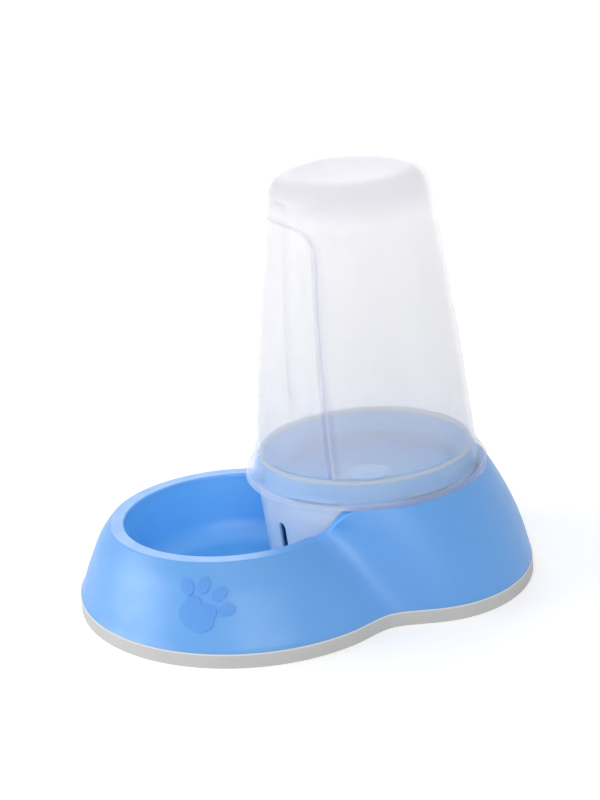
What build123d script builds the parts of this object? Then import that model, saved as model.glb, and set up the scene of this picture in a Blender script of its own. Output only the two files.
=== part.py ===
from build123d import *
from math import cos, pi, radians, sin, tan
import os

# A gravity water dispenser for pets, in millimetres: +Z up, the bowl towards -Y, the tank towards +Y.
# The origin is the middle of the footprint, on the surface that the foot ring stands on.

# Footprint: two ovals, a wide one under the bowl and a narrower one under the tank
base_length = 300.0
front_half_width = 118.0
front_half_length = 110.0
rear_half_width = 96.0
rear_half_length = 77.0

waist_y = 9.5
waist_blend = 30.0
outline_points = 48

# Base shell: a low rim round the bowl, and a step up to the seat that carries the tank
wall = 2.6
floor_top = 12.0
rim_height = 56.0
rim_band = 9.0
rim_edge_round = 1.2
seat_height = 75.0
step_front_y = -8.0
step_rear_y = 22.0
ledge = 0.6
skirt_sections = 8
front_bend = 0.2
rear_bend = 0.6

# Drinking bowl
bowl_y = -47.5
bowl_radius = 70.0
bowl_floor_radius = 62.0
bowl_corner = 18.0
bowl_lip_round = 2.2
bowl_lip_rise = 0.4
bowl_lip_land = 0.3

# Way from the bowl into the socket, widening upwards
passage_foot_half_width = 46.0
passage_rim_half_width = 59.5
passage_reach = 20.0

# Foot ring
ring_height = 9.3
ring_thickness = 3.2
ring_sole = 2.4
ring_sole_width = 10.0
ring_clearance = 0.1

# Tank
tank_y = 45.0
tank_wall = 2.6
lip_radius = 79.0
lip_thickness = 4.2
lip_edge_round = 1.2
collar_foot_radius = 77.2
neck_radius = 72.0
neck_height = 90.5
tank_top_radius = 50.6
tank_top = 276.0
tank_bulge = 1.4
tank_shoulder_round = 17.0

# Front panel of the tank
panel_depth = 1.0
panel_foot = 93.0
panel_foot_half_width = 61.8
panel_top = 250.5
panel_top_half_width = 43.0
panel_corner = 15.0
panel_crown = 1.6

# Outlet cup under the tank
cup_wall = 2.0
cup_radius = 72.0
cup_taper = 5.0
cup_gap = 1.5
cup_foot_gap = 1.6
face_gap = 0.3
spigot_wall = 2.4
spigot_top = 88.0
cup_ledge_width = 6.5
cup_ledge_thickness = 2.0
slot_width = 7.2
slot_top = 55.0
slot_angle = 23.0

# Bayonet between cup and tank
lug_count = 6
lug_angle = 25.0
lug_depth = 3.1
lug_height = 4.0
lug_phase = 48.5
claw_height = 2.2
gate_extra_angle = 3.0
neck_clearance = 0.4
seal_margin = 0.2

# Valve housing, welded on the cup's inner ledge
housing_height = 66.0
housing_thickness = 2.0
housing_clearance = 0.2
housing_rim_width = 5.0
funnel_drop = 5.5

# Stop valve on the tank's axis
outlet_radius = 13.0
outlet_wall = 2.0
outlet_foot = 46.0
valve_seat_height = 62.0
valve_lift = 4.0
washer_radius = 15.4
washer_thickness = 2.0
head_radius = 14.0
head_thickness = 2.2
stem_radius = 2.5
stem_foot = 24.0
bore_clearance = 0.08
hub_radius = 5.6
spider_foot = 47.0
spider_height = 3.5
spoke_count = 3
spoke_width = 2.4
post_radius = 5.0
groove_radius = 1.8
groove_height = 1.2
groove_bottom = 27.0
clip_radius = 6.2
clip_mouth = 3.4

# Valve spring
spring_radius = 4.1
spring_wire = 0.9
spring_turns = 5
spring_seat_gap = 0.05

# Paw relief on both sides of the bowl
paw_height = 0.8
paw_angle = 62.0
paw_centre_height = 30.0
paw_lean = 30.0
paw_turn = 26.0
paw_pad_width = 24.4
paw_pad_height = 17.0
paw_lobe_radius = 5.6
paw_lobe_offset = 5.5
paw_toe_distance = 18.8
paw_toe_angles = (-51.0, -18.0, 18.0, 51.0)
paw_toe_width = 8.0
paw_toe_height = 11.6

front_y = -(base_length / 2 - front_half_length)
rear_y = base_length / 2 - rear_half_length
cut = 1.0


def reach(angle, half_width, half_length, centre_y):
    """Distance from the waist's centre to an oval, in a direction measured from the front."""
    across, along = sin(angle), -cos(angle)
    offset = waist_y - centre_y
    square = (across / half_width) ** 2 + (along / half_length) ** 2
    middle = offset * along / half_length**2
    inside = (offset / half_length) ** 2 - 1
    return ((middle**2 - square * inside) ** 0.5 - middle) / square


def blended(first, second):
    """The larger of two reaches, with a soft change from one to the other at the waist."""
    near = max(waist_blend - abs(first - second), 0) / waist_blend
    return max(first, second) + near**2 * waist_blend / 4


def peanut(front, rear):
    """Smooth outline round two ovals, each given as half width, half length and centre."""
    points = []
    for number in range(outline_points):
        angle = 2 * pi * number / outline_points
        distance = blended(reach(angle, *front), reach(angle, *rear))
        points.append((distance * sin(angle), waist_y - distance * cos(angle)))
    return make_face(Spline(*points, periodic=True))


def footprint(grow, bottom, top):
    """The outline of the foot as a flat-sided block."""
    front = (front_half_width + grow, front_half_length + grow, front_y)
    rear = (rear_half_width + grow, rear_half_length + grow, rear_y)
    return Pos(0, 0, bottom) * extrude(peanut(front, rear), top - bottom)


def front_share(height):
    """Part of the way from the foot's front oval to the bowl's rim: straight, then rounder."""
    share = (height - ring_height) / (rim_height - ring_height)
    return (1 - front_bend) * share + front_bend * share**6 if share < 1 else share


def rear_share(height):
    """Part of the way from the foot's rear oval to the seat's edge, steeper towards the top."""
    share = (height - ring_height) / (seat_height - ring_height)
    return (1 - rear_bend) * share + rear_bend * share**2


def lobe(share, half_width, half_length, centre_y, top_radius, top_y, grow):
    """One oval of the skirt, between its foot at share 0 and a circle at share 1."""
    across = half_width - ledge + (top_radius - half_width + ledge) * share
    along = half_length - ledge + (top_radius - half_length + ledge) * share
    return across + grow, along + grow, centre_y + (top_y - centre_y) * share


def front_lobe(height, grow):
    return lobe(front_share(height), front_half_width, front_half_length, front_y,
                bowl_radius + rim_band, bowl_y, grow)


def rear_lobe(height, grow):
    return lobe(rear_share(height), rear_half_width, rear_half_length, rear_y, lip_radius, tank_y, grow)


def lid(lower):
    """What lies above the base: level over the bowl, an S-shaped step, level over the seat."""
    rim, seat = rim_height - lower, seat_height - lower
    over_bowl = Line((-base_length, rim), (step_front_y, rim))
    step = Spline((step_front_y, rim), (step_rear_y, seat), tangents=[(1, 0), (1, 0)])
    above = 2 * seat_height
    back = Polyline((step_rear_y, seat), (base_length, seat), (base_length, above),
                    (-base_length, above), (-base_length, rim))
    return extrude(Plane.YZ * make_face([over_bowl, step, back]), base_length, both=True)


def skirt(grow=0.0, lower=0.0):
    """The skirt as a solid, from the foot ring up to the rim and the seat."""
    sections = []
    for number in range(skirt_sections):
        height = ring_height + (seat_height + cut - ring_height) * number / (skirt_sections - 1)
        sections.append(Pos(0, 0, height) * peanut(front_lobe(height, grow), rear_lobe(height, grow)))
    return loft(sections) - lid(lower)


def turned(points, centre_y, rounds=()):
    """A body of revolution about a vertical line through (0, centre_y); rounds pairs point and radius."""
    profile = make_face(Polyline(*points, close=True))
    for point, radius in rounds:
        corner = [v for v in profile.vertices() if abs(v.X - point[0]) < 1e-6 and abs(v.Y - point[1]) < 1e-6]
        profile = fillet(corner, radius)
    return Pos(0, centre_y, 0) * revolve(Plane.XZ * profile, Axis.Z)


def cup_radius_at(height):
    """Outer radius of the tapered cup wall."""
    return cup_radius - (seat_height - height) * tan(radians(cup_taper))


def basin(grow, top):
    """The drinking bowl as a solid: the water space with grow 0, its outside with grow set to the wall."""
    foot = (bowl_floor_radius + grow, floor_top - grow)
    lip = (bowl_radius + grow, rim_height + bowl_lip_rise)
    lip_outside = (lip[0] + bowl_lip_round + bowl_lip_land, lip[1])
    points = [(0, floor_top - grow), foot, lip, lip_outside, (lip_outside[0], top), (0, top)]
    return turned(points, bowl_y, [(foot, bowl_corner + grow), (lip, bowl_lip_round)])


def socket(grow, top):
    """The round well that the outlet cup drops into."""
    foot = (cup_radius_at(floor_top) + cup_gap + grow, floor_top - grow)
    mouth = (cup_radius_at(seat_height) + cup_gap + grow, seat_height)
    points = [(0, floor_top - grow), foot, mouth, (mouth[0], top), (0, top)]
    return turned(points, tank_y, [(foot, wall + grow)])


def passage(grow, top):
    """Takes off the ridges between bowl and socket, so that one wall runs into the other."""
    foot = floor_top + wall
    slope = (passage_rim_half_width - passage_foot_half_width) / (rim_height - foot)
    foot_half = passage_foot_half_width + grow
    top_half = foot_half + slope * (top - foot)
    shape = make_face(Polyline((-foot_half, foot - grow), (foot_half, foot - grow), (top_half, top),
                               (-top_half, top), close=True))
    return extrude(Plane.XZ * shape, passage_reach, both=True)


def wells(grow, top):
    """Bowl, socket and the way between them."""
    return basin(grow, top) + socket(grow, top + cut) + passage(grow, top)


def paw(side):
    """Raised paw print on the skirt: a pad and four toes."""
    angle, lean = radians(paw_angle), radians(paw_lean)
    across, along, centre_y = front_lobe(paw_centre_height, 0)
    centre = (side * across * sin(angle), centre_y - along * cos(angle), paw_centre_height)
    outward = (side * sin(angle) * cos(lean), -cos(angle) * cos(lean), sin(lean))
    level = (side * cos(angle), sin(angle), 0)
    shape = Pos(0, -paw_lobe_radius / 4) * Ellipse(paw_pad_width / 2, paw_pad_height / 2)
    for lobe_side in (-1, 1):
        shape += Pos(lobe_side * paw_lobe_offset, paw_pad_height / 4) * Circle(paw_lobe_radius)
    toe = Pos(0, paw_toe_distance) * Ellipse(paw_toe_width / 2, paw_toe_height / 2)
    for toe_angle in paw_toe_angles:
        shape += Rot(0, 0, -toe_angle) * toe
    place = Plane(origin=centre, x_dir=level, z_dir=outward)
    turned_shape = Rot(0, 0, -side * paw_turn) * shape
    prisms = extrude(place * turned_shape, paw_toe_distance, both=True)
    return prisms & (skirt(grow=paw_height) - skirt(grow=-wall / 2))


def build_base_shell():
    outer = skirt()
    outer = outer.fillet(rim_edge_round, [e for e in outer.edges() if is_rim(e)])
    right_paw = paw(1)
    outer += [right_paw, mirror(right_paw, Plane.YZ)]
    inset = -(ring_thickness + ring_clearance)
    outer += footprint(inset, ring_sole, ring_height + cut)

    above = seat_height + cut
    hollow = skirt(-wall, wall) - Pos(0, 0, ring_height) * Box(base_length, base_length, 2 * wall)
    hollow += footprint(inset - wall, 0, ring_height + wall + cut)
    hollow -= wells(wall, above)

    shell = outer - wells(0, above) - hollow
    post = Cylinder(post_radius, stem_foot - floor_top + wall, align=(Align.CENTER, Align.CENTER, Align.MIN))
    return shell + Pos(0, tank_y, floor_top - wall) * post


def is_rim(edge):
    """True for the outer edge of the rim, the step and the seat."""
    middle = edge @ 0.5
    outside = abs(middle.X) > bowl_floor_radius or middle.Y > tank_y
    return outside and edge.bounding_box().min.Z > rim_height - cut


def build_foot_ring():
    inner = footprint(-ring_thickness, ring_sole, ring_height + cut)
    opening = footprint(-ring_sole_width, -cut, ring_height)
    return footprint(0, 0, ring_height) - inner - opening


def tank_outline(inset):
    """Outer side of the tank above the neck, moved inwards by inset, as an arc and a flat top."""
    foot = (neck_radius - inset, neck_height)
    top = (tank_top_radius - inset, tank_top - inset)
    middle = ((foot[0] + top[0]) / 2 + tank_bulge, (foot[1] + top[1]) / 2)
    return foot, middle, top


def tank_body(inset, foot_points):
    """The tank as a solid of revolution, closed over the points that make its foot."""
    foot, middle, top = tank_outline(inset)
    with_foot = list(foot_points)
    lines = [Polyline(*with_foot, foot)] if with_foot else []
    side = ThreePointArc(foot, middle, top)
    start = with_foot[0] if with_foot else foot
    centre_foot = (0, start[1])
    cap = Polyline(top, (0, top[1]), centre_foot, start)
    profile = make_face(lines + [side, cap])
    corner = [v for v in profile.vertices() if abs(v.X - top[0]) < 1e-4 and abs(v.Y - top[1]) < 1e-4]
    profile = fillet(corner, tank_shoulder_round - inset)
    return Pos(0, tank_y, 0) * revolve(Plane.XZ * profile, Axis.Z)


def build_tank():
    lip_top = seat_height + lip_thickness
    outer = tank_body(0, [(lip_radius, seat_height), (lip_radius, lip_top), (collar_foot_radius, lip_top)])
    rim = [e for e in outer.edges() if is_ring(e, lip_radius)]
    outer = outer.fillet(lip_edge_round, rim)

    foot_half, top_half = panel_foot_half_width, panel_top_half_width
    shape = make_face(Polyline((-foot_half, panel_foot), (foot_half, panel_foot), (top_half, panel_top),
                               (0, panel_top + panel_crown), (-top_half, panel_top), close=True))
    corners = [v for v in shape.vertices() if abs(abs(v.X) - top_half) < 1e-6]
    shape = fillet(corners, panel_corner)
    window = Pos(0, tank_y, 0) * extrude(Plane.XZ * shape, lip_radius)
    outer -= window - tank_body(panel_depth, [])

    spigot = spigot_radius()
    gate = spigot + neck_clearance
    mouth = spigot + lug_depth + 2 * face_gap
    claw_top = seat_height + claw_height
    mouth_top = claw_top + lug_height + claw_height
    cone_top = seal_top() - spigot_wall
    stop = spigot - spigot_wall + neck_clearance
    inner = tank_body(tank_wall, []) - Pos(0, tank_y, neck_height) * Cylinder(neck_radius, 2 * tank_wall)
    space = [(0, seat_height - cut), (mouth, seat_height - cut), (mouth, mouth_top), (gate, cone_top),
             (gate, seal_top()), (stop, seal_top()), (stop, neck_height + tank_wall + cut),
             (0, neck_height + tank_wall + cut)]
    claw_angle = 360 / lug_count - lug_angle - 2 * gate_extra_angle
    claws = ring_blocks(gate, mouth + cut / 2, seat_height, claw_top, claw_angle, lug_phase)
    return outer - inner - turned(space, tank_y) + claws


def is_ring(edge, radius):
    """True for a level circle of this radius about the tank's axis."""
    middle = edge @ 0.5
    box = edge.bounding_box()
    level = box.max.Z - box.min.Z < 0.01
    distance = (middle.X**2 + (middle.Y - tank_y) ** 2) ** 0.5
    return level and abs(distance - radius) < 0.01 and box.min.Z > seat_height + lip_thickness / 2


def spigot_radius():
    """Outer radius of the cup's spigot inside the tank's neck."""
    return neck_radius - tank_wall


def seal_top():
    return neck_height


def ring_blocks(inner, outer, bottom, top, angle, phase):
    """Equal blocks of a ring, one for each bayonet lug."""
    section = Pos((inner + outer) / 2, (bottom + top) / 2) * Rectangle(outer - inner, top - bottom)
    block = revolve(Plane.XZ * section, Axis.Z, angle)
    blocks = Part()
    for number in range(lug_count):
        turn = phase - 90 + number * 360 / lug_count - angle / 2
        blocks += Rot(0, 0, turn) * block
    return Pos(0, tank_y, 0) * blocks


def build_outlet_cup():
    top = seat_height - face_gap
    foot = floor_top + cup_foot_gap
    spigot = spigot_radius()
    spigot_inner = spigot - spigot_wall
    shoulder = top - cup_wall
    outline = [(cup_radius_at(foot), foot), (cup_radius_at(top), top), (spigot, top), (spigot, spigot_top),
               (spigot_inner, spigot_top), (spigot_inner, shoulder),
               (cup_radius_at(shoulder) - cup_wall, shoulder), (cup_radius_at(foot) - cup_wall, foot)]
    ledge_top = housing_height - housing_thickness
    ledge_outer = cup_radius_at(ledge_top) - cup_wall / 2
    ledge_middle = (ledge_outer - cup_ledge_width / 2, ledge_top - cup_ledge_thickness / 2)
    ledge_section = Pos(*ledge_middle) * Rectangle(cup_ledge_width, cup_ledge_thickness)
    cup = turned(outline, tank_y) + Pos(0, tank_y, 0) * revolve(Plane.XZ * ledge_section, Axis.Z)
    lug_foot = seat_height + claw_height
    lug_top = lug_foot + lug_height
    cup += ring_blocks(spigot - cut / 2, spigot + lug_depth, lug_foot, lug_top, lug_angle, lug_phase)
    for side in (-1, 1):
        cup -= slot(side * slot_angle, foot)
    return cup


def build_valve_housing():
    rim = spigot_radius() - spigot_wall - housing_clearance
    outlet_outer = outlet_radius + outlet_wall
    low = housing_height - funnel_drop
    bend = rim - housing_rim_width
    funnel = [(outlet_outer - cut / 2, low - housing_thickness), (bend, housing_height - housing_thickness),
              (rim, housing_height - housing_thickness), (rim, housing_height), (bend, housing_height),
              (outlet_outer - cut / 2, low)]
    spout = [(outlet_radius, outlet_foot), (outlet_outer, outlet_foot), (outlet_outer, valve_seat_height),
             (outlet_radius, valve_seat_height)]
    return turned(funnel, tank_y) + turned(spout, tank_y) + spider()


def spider():
    """Hub and spokes that guide the valve stem inside the spout."""
    hub = Cylinder(hub_radius, spider_height)
    spoke_length = outlet_radius - hub_radius + outlet_wall
    spoke = Pos(0, (hub_radius + outlet_radius) / 2, 0) * Box(spoke_width, spoke_length, spider_height)
    for number in range(spoke_count):
        hub += Rot(0, 0, number * 360 / spoke_count) * spoke
    hub -= Cylinder(stem_radius + bore_clearance, spider_height + 2 * cut)
    return Pos(0, tank_y, spider_foot + spider_height / 2) * hub


def slot(angle, foot):
    """Arch-topped slot from the cup's foot upwards, through the wall at an angle from the front."""
    straight = slot_top - slot_width / 2
    arch = Pos(0, (foot - cut + straight) / 2) * Rectangle(slot_width, straight - foot + cut)
    arch += Pos(0, straight) * Circle(slot_width / 2)
    cutter = Pos(0, -cup_radius, 0) * extrude(Plane.XZ * arch, 4 * cup_wall, both=True)
    return Pos(0, tank_y, 0) * Rot(0, 0, angle) * cutter


def build_cup_seal():
    outer = spigot_radius() - seal_margin
    inner = spigot_radius() - spigot_wall + seal_margin
    section = [(inner, spigot_top), (outer, spigot_top), (outer, seal_top()), (inner, seal_top())]
    return turned(section, tank_y)


def build_valve_stem():
    washer_bottom = valve_seat_height + valve_lift
    head_bottom = washer_bottom + washer_thickness
    head_top = head_bottom + head_thickness
    groove_top = groove_bottom + groove_height
    points = [(0, stem_foot), (stem_radius, stem_foot), (stem_radius, groove_bottom),
              (groove_radius, groove_bottom), (groove_radius, groove_top), (stem_radius, groove_top),
              (stem_radius, head_bottom), (head_radius, head_bottom), (head_radius, head_top), (0, head_top)]
    return turned(points, tank_y)


def build_valve_washer():
    bottom = valve_seat_height + valve_lift
    top = bottom + washer_thickness
    section = [(stem_radius, bottom), (washer_radius, bottom), (washer_radius, top), (stem_radius, top)]
    return turned(section, tank_y)


def build_spring_clip():
    disc = Cylinder(clip_radius, groove_height) - Cylinder(groove_radius, groove_height + 2 * cut)
    disc -= Pos(0, clip_radius, 0) * Box(clip_mouth, 2 * clip_radius, groove_height + 2 * cut)
    return Pos(0, tank_y, groove_bottom + groove_height / 2) * disc


def build_valve_spring():
    bottom = groove_bottom + groove_height + spring_wire / 2 + spring_seat_gap
    top = spider_foot - spring_wire / 2 - spring_seat_gap
    pitch = (top - bottom) / spring_turns
    print("valve spring: gap between curls", round(pitch - spring_wire, 2), "mm")
    path = Helix(pitch, top - bottom, spring_radius)
    section = Plane(path @ 0, z_dir=path % 0) * Circle(spring_wire / 2)
    return Pos(0, tank_y, bottom) * sweep(section, path, is_frenet=True)


os.makedirs("parts", exist_ok=True)
for name, build in (("base_shell", build_base_shell), ("foot_ring", build_foot_ring), ("tank", build_tank),
                    ("outlet_cup", build_outlet_cup), ("valve_housing", build_valve_housing),
                    ("cup_seal", build_cup_seal),
                    ("valve_stem", build_valve_stem), ("valve_washer", build_valve_washer),
                    ("spring_clip", build_spring_clip), ("valve_spring", build_valve_spring)):
    export_step(build(), "parts/" + name + ".step")
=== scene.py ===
from math import cos, radians, sin, tan

import bmesh
import bpy
from mathutils import Matrix, Vector

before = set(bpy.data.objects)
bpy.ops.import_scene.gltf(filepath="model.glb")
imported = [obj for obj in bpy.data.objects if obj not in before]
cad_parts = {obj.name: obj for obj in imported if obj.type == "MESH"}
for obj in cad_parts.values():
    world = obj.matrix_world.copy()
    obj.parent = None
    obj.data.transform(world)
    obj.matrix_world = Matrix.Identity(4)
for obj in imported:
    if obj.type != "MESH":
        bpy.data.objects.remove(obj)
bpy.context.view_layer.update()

# A gravity water dispenser for pets, in metres: +Z up, the bowl towards -Y, the tank towards +Y.
MM = 0.001

# The sizes below are the solids' own: the patterns follow them.

# Foot ring
# Painted highlight: the ring's top edge is lighter from this height up, fading in over the next
RING_HIGHLIGHT_FROM = 8.3 * MM
RING_HIGHLIGHT_FADE = 0.6 * MM

# The raised paw print on each side of the skirt: its middle, how it faces, and its pads
PAW_CENTRE = Vector((91.6, -88.9, 30.0)) * MM
PAW_ANGLE = 62.0
PAW_LEAN = 30.0
PAW_TURN = 26.0
PAW_DEPTH = 12 * MM
PAD_RADII = (12.2 * MM, 8.5 * MM)
PAD_DROP = -1.4 * MM
LOBE_RADIUS = 5.6 * MM
LOBE_PLACE = (5.5 * MM, 4.25 * MM)
TOE_RADII = (4.0 * MM, 5.8 * MM)
TOE_DISTANCE = 18.8 * MM
TOE_ANGLES = (-51, -18, 18, 51)

# Drinking bowl
BOWL_Y = -47.5 * MM
BOWL_RADIUS = 70.0 * MM

# Tank: lip, collar that narrows upwards to the neck, and closed end at the top
TANK_Y = 45.0 * MM
TANK_WALL = 2.6 * MM
COLLAR_RADIUS = 77.2 * MM
LIP_TOP = 79.2 * MM
NECK_RADIUS = 72.0 * MM
NECK_HEIGHT = 90.5 * MM
# Heights over which painted blue light from the base fades out up the tank's foot
PAINTED_FOOT_GLOW = (84 * MM, 124 * MM)
# Heights over which painted shade greys the top of the tank
TOP_SHADE_PAINTED = (248 * MM, 268 * MM)

# Front panel of the tank
PANEL_FOOT = 93.0 * MM
PANEL_FOOT_HALF_WIDTH = 61.8 * MM
PANEL_TOP = 250.5 * MM
PANEL_TOP_HALF_WIDTH = 43.0 * MM
PANEL_CORNER = 15.0 * MM
PANEL_CROWN = 1.6 * MM

# Outlet cup: CUP_RADIUS outside at the height of the seat, narrower below, with a spigot in the tank's neck
SEAT_HEIGHT = 75.0 * MM
CUP_RADIUS = 72.0 * MM
CUP_TAPER = 5.0
CUP_WALL = 2.0 * MM
SPIGOT = (76 * MM, 80 * MM)

# Most of a noise lies between these
NOISE_LOW, NOISE_HIGH = 0.3, 0.7


def linear(hex_colour):
    """An sRGB hex colour as linear RGBA."""
    shares = [int(hex_colour[start:start + 2], 16) / 255 for start in (1, 3, 5)]
    return (*[s / 12.92 if s <= 0.04045 else ((s + 0.055) / 1.055) ** 2.4 for s in shares], 1.0)


def add_node(tree, kind, inputs=None, output=0, **settings):
    """Adds a node, gives each input a value or an output to link from, and returns one of its own outputs."""
    node = tree.nodes.new(kind)
    for name, value in settings.items():
        setattr(node, name, value)
    for name, value in (inputs or {}).items():
        if isinstance(value, bpy.types.NodeSocket):
            tree.links.new(value, node.inputs[name])
        else:
            node.inputs[name].default_value = value
    return node.outputs[output] if node.outputs else None


def new_material(name):
    """An empty node material, and the Object coordinates in it."""
    material = bpy.data.materials.new(name)
    material.use_nodes = True
    tree = material.node_tree
    tree.nodes.clear()
    return material, tree, add_node(tree, "ShaderNodeTexCoord", output="Object")


def cloudy(tree, place, size_mm, detail, first, second):
    """Two colours that drift into each other in clouds about size_mm across."""
    clouds = add_node(tree, "ShaderNodeTexNoise", {"Vector": place, "Scale": 1 / (size_mm * MM), "Detail": detail})
    return add_node(tree, "ShaderNodeMixRGB", {"Fac": clouds, "Color1": linear(first), "Color2": linear(second)})


def uneven(tree, place, size_mm, detail, low, high):
    """A value that wanders from low to high in patches about size_mm across."""
    patches = add_node(tree, "ShaderNodeTexNoise", {"Vector": place, "Scale": 1 / (size_mm * MM), "Detail": detail})
    return add_node(tree, "ShaderNodeMapRange", {
        "Value": patches, "From Min": NOISE_LOW, "From Max": NOISE_HIGH, "To Min": low, "To Max": high})


def grained(tree, place, size_mm, detail, depth_mm, strength, under=None):
    """A skin with lumps about size_mm across and depth_mm high, on top of another one."""
    lumps = add_node(tree, "ShaderNodeTexNoise", {"Vector": place, "Scale": 1 / (size_mm * MM), "Detail": detail})
    relief = {"Height": lumps, "Distance": depth_mm * MM, "Strength": strength}
    return add_node(tree, "ShaderNodeBump", relief if under is None else {**relief, "Normal": under})


def from_axis(tree, place, axis_y):
    """How far a point is from an upright axis at X 0, Y axis_y."""
    flat = add_node(tree, "ShaderNodeVectorMath", {0: place, 1: (1, 1, 0)}, operation="MULTIPLY")
    return add_node(tree, "ShaderNodeVectorMath", {0: flat, 1: (0, axis_y, 0)}, "Value", operation="DISTANCE")


def paw_pads(tree, place):
    """1 on the pads of both paw prints, 0 beside them."""
    angle, lean = radians(PAW_ANGLE), radians(PAW_LEAN)
    level = Vector((cos(angle), sin(angle), 0))
    outward = Vector((sin(angle) * cos(lean), -cos(angle) * cos(lean), sin(lean)))
    upright = outward.cross(level)
    facing = Matrix((level, upright, outward)).transposed()
    pads = [(0, (0, PAD_DROP), PAD_RADII)]
    pads += [(0, (side * LOBE_PLACE[0], LOBE_PLACE[1]), (LOBE_RADIUS, LOBE_RADIUS)) for side in (-1, 1)]
    pads += [(toe_angle, (0, TOE_DISTANCE), TOE_RADII) for toe_angle in TOE_ANGLES]

    split = add_node(tree, "ShaderNodeSeparateXYZ", {"Vector": place}).node.outputs
    across = add_node(tree, "ShaderNodeMath", {0: split["X"]}, operation="ABSOLUTE")
    mirrored = add_node(tree, "ShaderNodeCombineXYZ", {"X": across, "Y": split["Y"], "Z": split["Z"]})
    nearest = None
    for turn, (along, up), radii in pads:
        turned = facing @ Matrix.Rotation(radians(-PAW_TURN - turn), 3, "Z")
        on_pad = add_node(tree, "ShaderNodeMapping", {
            "Vector": mirrored, "Location": PAW_CENTRE + turned @ Vector((along, up, 0)),
            "Rotation": turned.to_euler(), "Scale": (*radii, PAW_DEPTH)}, vector_type="TEXTURE")
        reach = add_node(tree, "ShaderNodeVectorMath", {0: on_pad}, "Value", operation="LENGTH")
        nearest = reach if nearest is None else add_node(
            tree, "ShaderNodeMath", {0: nearest, 1: reach}, operation="MINIMUM")
    return add_node(tree, "ShaderNodeMapRange", {
        "Value": nearest, "From Min": 0.96, "From Max": 1.04, "To Min": 1.0, "To Max": 0.0})


def satin_blue_polypropylene():
    """Injection-moulded polypropylene from a satin tool: soft broad highlights and a faint orange peel, a painted
    lighter blue in the bowl for the light its walls throw on each other, and matt paw pads."""
    material, tree, place = new_material("satin_blue_polypropylene")
    blue = cloudy(tree, place, 60, 3, "#539EEA", "#63A8EF")
    # Painted light: a lighter blue inside the bowl stands in for the light its walls throw on each other
    in_bowl = add_node(tree, "ShaderNodeMapRange", {
        "Value": from_axis(tree, place, BOWL_Y), "From Min": BOWL_RADIUS - MM, "From Max": BOWL_RADIUS + MM,
        "To Min": 1.0, "To Max": 0.0})
    bowl_light_painted = add_node(tree, "ShaderNodeMixRGB", {"Fac": in_bowl, "Color1": blue, "Color2": linear("#66BAFF")})
    pads = paw_pads(tree, place)
    colour = add_node(tree, "ShaderNodeMixRGB", {"Fac": pads, "Color1": bowl_light_painted, "Color2": linear("#4E97E6")})
    satin = uneven(tree, place, 14, 4, 0.34, 0.44)
    roughness = add_node(tree, "ShaderNodeMath", {0: pads, 1: 0.16, 2: satin}, operation="MULTIPLY_ADD")
    peel = grained(tree, place, 6, 1, 0.05, 0.25)
    surface = add_node(tree, "ShaderNodeBsdfPrincipled", {
        "Base Color": colour, "IOR": 1.49, "Roughness": roughness, "Specular IOR Level": 0.9,
        "Subsurface Weight": 0.3, "Subsurface Radius": (0.5, 0.8, 1.0), "Subsurface Scale": 6 * MM,
        "Normal": grained(tree, place, 0.9, 2, 0.03, 0.2, peel)})
    add_node(tree, "ShaderNodeOutputMaterial", {"Surface": surface})
    return material


def grey_thermoplastic_rubber():
    """Soft moulded rubber: matt, with a fine spark-eroded grain, and a painted highlight along its top edge."""
    material, tree, place = new_material("grey_thermoplastic_rubber")
    grey = cloudy(tree, place, 25, 4, "#C0C0BF", "#CDCDCC")
    height = add_node(tree, "ShaderNodeSeparateXYZ", {"Vector": place}, "Z")
    # Painted highlight along the ring's top edge
    painted_top_highlight = add_node(tree, "ShaderNodeMapRange", {
        "Value": height, "From Min": RING_HIGHLIGHT_FROM, "From Max": RING_HIGHLIGHT_FROM + RING_HIGHLIGHT_FADE, "To Min": 0.0, "To Max": 1.0})
    surface = add_node(tree, "ShaderNodeBsdfPrincipled", {
        "Base Color": add_node(tree, "ShaderNodeMixRGB", {"Fac": painted_top_highlight, "Color1": grey, "Color2": linear("#E6E7E8")}),
        "IOR": 1.5, "Roughness": uneven(tree, place, 9, 4, 0.62, 0.78),
        "Normal": grained(tree, place, 0.7, 3, 0.05, 0.4)})
    add_node(tree, "ShaderNodeOutputMaterial", {"Surface": surface})
    return material


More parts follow.
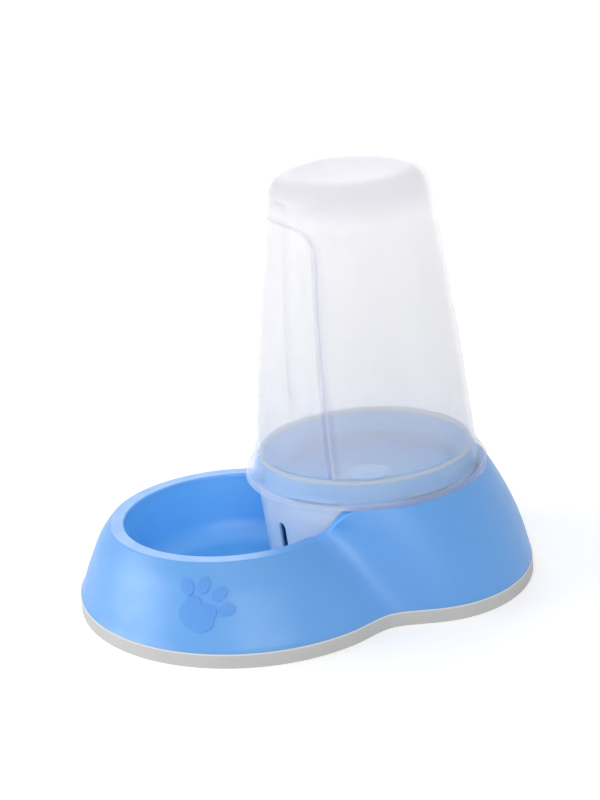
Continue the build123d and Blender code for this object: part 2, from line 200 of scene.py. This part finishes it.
def panel_edge(tree, place):
    """How far outside the front panel's outline a point lies, in mm: below 0 inside it, and -PANEL_CORNER deep
    inside, on the tank's back and under the panel."""
    split = add_node(tree, "ShaderNodeSeparateXYZ", {"Vector": place}).node.outputs
    across = add_node(tree, "ShaderNodeMath", {0: split["X"]}, operation="ABSOLUTE")
    straight_half = add_node(tree, "ShaderNodeMapRange", {
        "Value": split["Z"], "From Min": PANEL_FOOT, "From Max": PANEL_TOP,
        "To Min": PANEL_FOOT_HALF_WIDTH - PANEL_CORNER, "To Max": PANEL_TOP_HALF_WIDTH - PANEL_CORNER})
    straight_top = add_node(tree, "ShaderNodeMapRange", {
        "Value": across, "From Min": 0.0, "From Max": PANEL_TOP_HALF_WIDTH,
        "To Min": PANEL_TOP + PANEL_CROWN - PANEL_CORNER, "To Max": PANEL_TOP - PANEL_CORNER})
    past_side = add_node(tree, "ShaderNodeMath", {0: across, 1: straight_half}, operation="SUBTRACT")
    past_top = add_node(tree, "ShaderNodeMath", {0: split["Z"], 1: straight_top}, operation="SUBTRACT")
    past = add_node(tree, "ShaderNodeCombineXYZ", {"X": past_side, "Z": past_top})
    outside = add_node(tree, "ShaderNodeVectorMath", {0: past, 1: (0, 0, 0)}, operation="MAXIMUM")
    reach = add_node(tree, "ShaderNodeVectorMath", {0: outside}, "Value", operation="LENGTH")
    in_front = add_node(tree, "ShaderNodeMath", {0: split["Y"], 1: TANK_Y}, operation="LESS_THAN")
    above_foot = add_node(tree, "ShaderNodeMath", {0: split["Z"], 1: PANEL_FOOT}, operation="GREATER_THAN")
    there = add_node(tree, "ShaderNodeMath", {0: in_front, 1: above_foot}, operation="MULTIPLY")
    kept = add_node(tree, "ShaderNodeMath", {0: reach, 1: there}, operation="MULTIPLY")
    past_edge = add_node(tree, "ShaderNodeMath", {0: kept, 1: PANEL_CORNER}, operation="SUBTRACT")
    return add_node(tree, "ShaderNodeMath", {0: past_edge, 1: MM}, operation="DIVIDE")


def painted_foot_glow_colour(tree, place, height):
    """Painted blue light from the base, seen in the tank's foot: light blue outside, bluer inside, and the lip left
    white.
    """
    radius = from_axis(tree, place, TANK_Y)
    slope = (COLLAR_RADIUS - NECK_RADIUS) / (NECK_HEIGHT - LIP_TOP)
    slant = add_node(tree, "ShaderNodeMath", {0: height, 1: slope, 2: radius}, operation="MULTIPLY_ADD")
    outer_slant = NECK_RADIUS + slope * NECK_HEIGHT
    outside = add_node(tree, "ShaderNodeMapRange", {
        "Value": slant, "From Min": outer_slant - TANK_WALL, "From Max": outer_slant, "To Min": 0.0, "To Max": 1.0})
    blue = add_node(tree, "ShaderNodeMixRGB", {
        "Fac": outside, "Color1": linear("#82C2FF"), "Color2": linear("#E4EFFF")})
    on_lip = add_node(tree, "ShaderNodeMapRange", {
        "Value": radius, "From Min": COLLAR_RADIUS, "From Max": COLLAR_RADIUS + MM, "To Min": 0.0, "To Max": 1.0})
    return add_node(tree, "ShaderNodeMixRGB", {"Fac": on_lip, "Color1": blue, "Color2": linear("#FAFAFF")})


def frosted_polypropylene():
    """Natural polypropylene, moulded thin and frosted: milky white and faintly streaked, with painted shade greying
    the closed end at the top, a painted highlight on the panel's edge with painted shade just inside it, and painted
    blue light at the foot, where the base glows through it."""
    material, tree, place = new_material("frosted_polypropylene")
    upright = add_node(tree, "ShaderNodeMapping", {"Vector": place, "Scale": (1, 1, 0.08)})
    height = add_node(tree, "ShaderNodeSeparateXYZ", {"Vector": place}, "Z")
    milk = cloudy(tree, upright, 22, 3, "#F3F1F6", "#FAF8FC")
    # Painted shade: the tank greys towards its top
    top_shade_mask = add_node(tree, "ShaderNodeMapRange", {
        "Value": height, "From Min": TOP_SHADE_PAINTED[0], "From Max": TOP_SHADE_PAINTED[1], "To Min": 0.0, "To Max": 1.0},
        interpolation_type="SMOOTHSTEP")
    top_shade_painted = add_node(tree, "ShaderNodeMixRGB", {"Fac": top_shade_mask, "Color1": milk, "Color2": linear("#D4D4DC")})
    # Painted light: the base's blue glow through the tank's foot, fading out upwards
    glow = add_node(tree, "ShaderNodeMapRange", {
        "Value": height, "From Min": PAINTED_FOOT_GLOW[0], "From Max": PAINTED_FOOT_GLOW[1], "To Min": 1.0, "To Max": 0.0},
        interpolation_type="SMOOTHSTEP")
    foot_glow_painted = add_node(tree, "ShaderNodeMixRGB", {
        "Fac": glow, "Color1": top_shade_painted, "Color2": painted_foot_glow_colour(tree, place, height)})
    edge = panel_edge(tree, place)
    # Painted shade in a band just inside the panel's outline, and a painted highlight on the outline itself
    panel_shade_mask = add_node(tree, "ShaderNodeMath", {0: edge, 1: -1.2, 2: 1.3}, operation="COMPARE")
    panel_shade_painted = add_node(tree, "ShaderNodeMixRGB", {"Fac": panel_shade_mask, "Color1": foot_glow_painted, "Color2": linear("#D2D1E6")})
    panel_highlight_line = add_node(tree, "ShaderNodeMath", {0: edge, 1: 0.6, 2: 0.5}, operation="COMPARE")
    streaks = grained(tree, upright, 5, 2, 0.06, 0.2)
    surface = add_node(tree, "ShaderNodeBsdfPrincipled", {
        "Base Color": add_node(tree, "ShaderNodeMixRGB", {
            "Fac": panel_highlight_line, "Color1": panel_shade_painted, "Color2": linear("#FFFFFF")}),
        "IOR": 1.49, "Roughness": uneven(tree, place, 30, 3, 0.3, 0.38), "Specular IOR Level": 0.5, "Alpha": 0.29,
        "Subsurface Weight": 0.7, "Subsurface Radius": (1.0, 1.0, 1.0), "Subsurface Scale": 5 * MM,
        "Normal": grained(tree, place, 0.8, 3, 0.04, 0.35, streaks)})
    add_node(tree, "ShaderNodeOutputMaterial", {"Surface": surface})
    return material


def clear_moulded_polypropylene():
    """Clarified polypropylene, moulded smooth: hazy and pale, with painted blue inside it and in the neck, for the
    light of the blue base around it.
    """
    material, tree, place = new_material("clear_moulded_polypropylene")
    pale = cloudy(tree, place, 18, 2, "#D6E8FF", "#E6F1FF")
    height = add_node(tree, "ShaderNodeSeparateXYZ", {"Vector": place}, "Z")
    # Painted light: the neck's spigot and the cup's inside take a blue that stands in for the base around them
    in_neck = add_node(tree, "ShaderNodeMapRange", {
        "Value": height, "From Min": SPIGOT[0], "From Max": SPIGOT[1], "To Min": 0.0, "To Max": 1.0})
    taper = tan(radians(CUP_TAPER))
    slant = add_node(tree, "ShaderNodeMath", {0: height, 1: -taper, 2: from_axis(tree, place, TANK_Y)},
                     operation="MULTIPLY_ADD")
    outer_slant = CUP_RADIUS - taper * SEAT_HEIGHT
    inside = add_node(tree, "ShaderNodeMapRange", {
        "Value": slant, "From Min": outer_slant - CUP_WALL, "From Max": outer_slant, "To Min": 1.0, "To Max": 0.0})
    painted_base_blue = add_node(tree, "ShaderNodeMath", {0: in_neck, 1: inside}, operation="MAXIMUM")
    surface = add_node(tree, "ShaderNodeBsdfPrincipled", {
        "Base Color": add_node(tree, "ShaderNodeMixRGB", {
            "Fac": painted_base_blue, "Color1": pale, "Color2": linear("#8CCBFF")}),
        "IOR": 1.49, "Roughness": uneven(tree, place, 12, 3, 0.16, 0.24), "Specular IOR Level": 0.9, "Alpha": 0.84,
        "Subsurface Weight": 0.5, "Subsurface Radius": (1.0, 1.0, 1.0), "Subsurface Scale": 4 * MM,
        "Normal": grained(tree, place, 4, 2, 0.05, 0.2)})
    add_node(tree, "ShaderNodeOutputMaterial", {"Surface": surface})
    return material


def white_silicone():
    """Moulded silicone: milky and soft, with a dull sheen."""
    material, tree, place = new_material("white_silicone")
    surface = add_node(tree, "ShaderNodeBsdfPrincipled", {
        "Base Color": cloudy(tree, place, 8, 3, "#D6D6D1", "#E6E6E1"),
        "IOR": 1.41, "Roughness": uneven(tree, place, 5, 3, 0.45, 0.6),
        "Subsurface Weight": 0.3, "Subsurface Radius": (1.0, 1.0, 1.0), "Subsurface Scale": 1.5 * MM,
        "Normal": grained(tree, place, 0.5, 2, 0.03, 0.3)})
    add_node(tree, "ShaderNodeOutputMaterial", {"Surface": surface})
    return material


def light_blue_acetal():
    """Moulded acetal: hard, light blue and slightly waxy."""
    material, tree, place = new_material("light_blue_acetal")
    surface = add_node(tree, "ShaderNodeBsdfPrincipled", {
        "Base Color": cloudy(tree, place, 7, 3, "#66A7EB", "#78B3F1"),
        "IOR": 1.48, "Roughness": uneven(tree, place, 5, 3, 0.3, 0.4),
        "Normal": grained(tree, place, 0.6, 2, 0.02, 0.25)})
    add_node(tree, "ShaderNodeOutputMaterial", {"Surface": surface})
    return material


def stainless_spring_wire():
    """Drawn stainless wire: bright, with fine die lines."""
    material, tree, place = new_material("stainless_spring_wire")
    surface = add_node(tree, "ShaderNodeBsdfPrincipled", {
        "Base Color": cloudy(tree, place, 3, 4, "#B6B6B9", "#CECED0"),
        "Metallic": 1.0, "Roughness": uneven(tree, place, 1.5, 3, 0.28, 0.36),
        "Normal": grained(tree, place, 0.25, 3, 0.01, 0.3)})
    add_node(tree, "ShaderNodeOutputMaterial", {"Surface": surface})
    return material


def dress(material, *names):
    """Gives a material to CAD nodes."""
    for name in names:
        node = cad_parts[name]
        node.data.materials.clear()
        node.data.materials.append(material)


def seen_directly(tree):
    """1 for camera, glossy and transmission rays, else 0."""
    path = add_node(tree, "ShaderNodeLightPath").node.outputs
    either = add_node(tree, "ShaderNodeMath", {0: path["Is Camera Ray"], 1: path["Is Glossy Ray"]},
                      operation="MAXIMUM")
    return add_node(tree, "ShaderNodeMath", {0: either, 1: path["Is Transmission Ray"]}, operation="MAXIMUM")


def white_paper():
    """Uncoated paper: matt white, also far from the lamps, and it keeps the shadow."""
    material, tree, place = new_material("white_paper")
    paper = add_node(tree, "ShaderNodeBsdfDiffuse", {"Color": cloudy(tree, place, 2, 3, "#F3F3F3", "#F9F9F9")})
    from_middle = add_node(tree, "ShaderNodeVectorMath", {0: place}, "Value", operation="LENGTH")
    lift = add_node(tree, "ShaderNodeMapRange", {
        "Value": from_middle, "From Min": 0.5, "From Max": 2.0, "To Min": 0.28, "To Max": 0.6})
    glow = add_node(tree, "ShaderNodeEmission", {"Color": (1, 1, 1, 1), "Strength": lift})
    bright = add_node(tree, "ShaderNodeAddShader", {0: paper, 1: glow})
    surface = add_node(tree, "ShaderNodeMixShader", {"Fac": seen_directly(tree), 1: paper, 2: bright})
    add_node(tree, "ShaderNodeOutputMaterial", {"Surface": surface})
    return material


def paper_floor(half_width):
    """A sheet of white paper under the dispenser."""
    mesh = bpy.data.meshes.new("paper_floor")
    floor = bpy.data.objects.new("paper_floor", mesh)
    bpy.context.scene.collection.objects.link(floor)
    shape = bmesh.new()
    bmesh.ops.create_grid(shape, x_segments=1, y_segments=1, size=half_width)
    shape.to_mesh(mesh)
    shape.free()
    mesh.materials.append(white_paper())


def white_room(level):
    """World that looks white and lights at this level."""
    world = bpy.data.worlds.new("white_room")
    bpy.context.scene.world = world
    world.use_nodes = True
    tree = world.node_tree
    tree.nodes.clear()
    lit = add_node(tree, "ShaderNodeBackground", {"Color": (1, 1, 1, 1), "Strength": level})
    seen = add_node(tree, "ShaderNodeBackground", {"Color": (1, 1, 1, 1), "Strength": 1.0})
    surface = add_node(tree, "ShaderNodeMixShader", {"Fac": seen_directly(tree), 1: lit, 2: seen})
    add_node(tree, "ShaderNodeOutputWorld", {"Surface": surface})


def softbox(name, place, size, power):
    """A square soft lamp that points to the middle of the dispenser."""
    lamp = bpy.data.lights.new(name, "AREA")
    lamp.shape = "SQUARE"
    lamp.size = size
    lamp.energy = power
    holder = bpy.data.objects.new(name, lamp)
    bpy.context.scene.collection.objects.link(holder)
    holder.location = place
    holder.rotation_mode = "QUATERNION"
    holder.rotation_quaternion = (Vector((0, 0, 0.1)) - Vector(place)).to_track_quat("-Z", "Y")


def photo_camera(azimuth, elevation, roll, distance, target, lens):
    """Camera round target, at angles in degrees: azimuth from -Y towards +X, roll about its own line of sight."""
    turn, rise, lean = radians(azimuth), radians(elevation), radians(roll)
    back = Vector((sin(turn) * cos(rise), -cos(turn) * cos(rise), sin(rise)))
    level = Vector((cos(turn), sin(turn), 0))
    upright = back.cross(level)
    right = level * cos(lean) + upright * sin(lean)
    up = upright * cos(lean) - level * sin(lean)
    lens_data = bpy.data.cameras.new("photo_camera")
    lens_data.lens = lens
    lens_data.sensor_width = 36
    camera = bpy.data.objects.new("photo_camera", lens_data)
    bpy.context.scene.collection.objects.link(camera)
    turned = Matrix((right, up, back)).transposed().to_4x4()
    camera.matrix_world = Matrix.Translation(Vector(target) + back * distance) @ turned
    bpy.context.scene.camera = camera


bpy.context.scene.view_settings.view_transform = "Standard"
photo_camera(azimuth=78.9, elevation=19.5, roll=-4.5, distance=1.5475, target=(0.0001, 0.0041, 0.1265), lens=108)
white_room(level=0.52)
paper_floor(half_width=6.0)
softbox("key_softbox", place=(-0.3, -1.9, 0.7), size=1.4, power=18)
softbox("fill_softbox", place=(1.9, -0.2, 1.1), size=1.4, power=12.5)
softbox("top_softbox", place=(0.5, -0.3, 2.2), size=1.0, power=2)
softbox("back_softbox", place=(-1.7, 0.3, 1.1), size=1.2, power=9)

dress(satin_blue_polypropylene(), "base_shell", "valve_housing")
dress(grey_thermoplastic_rubber(), "foot_ring")
dress(frosted_polypropylene(), "tank")
dress(clear_moulded_polypropylene(), "outlet_cup")
dress(white_silicone(), "cup_seal", "valve_washer")
dress(light_blue_acetal(), "valve_stem")
dress(stainless_spring_wire(), "valve_spring", "spring_clip")
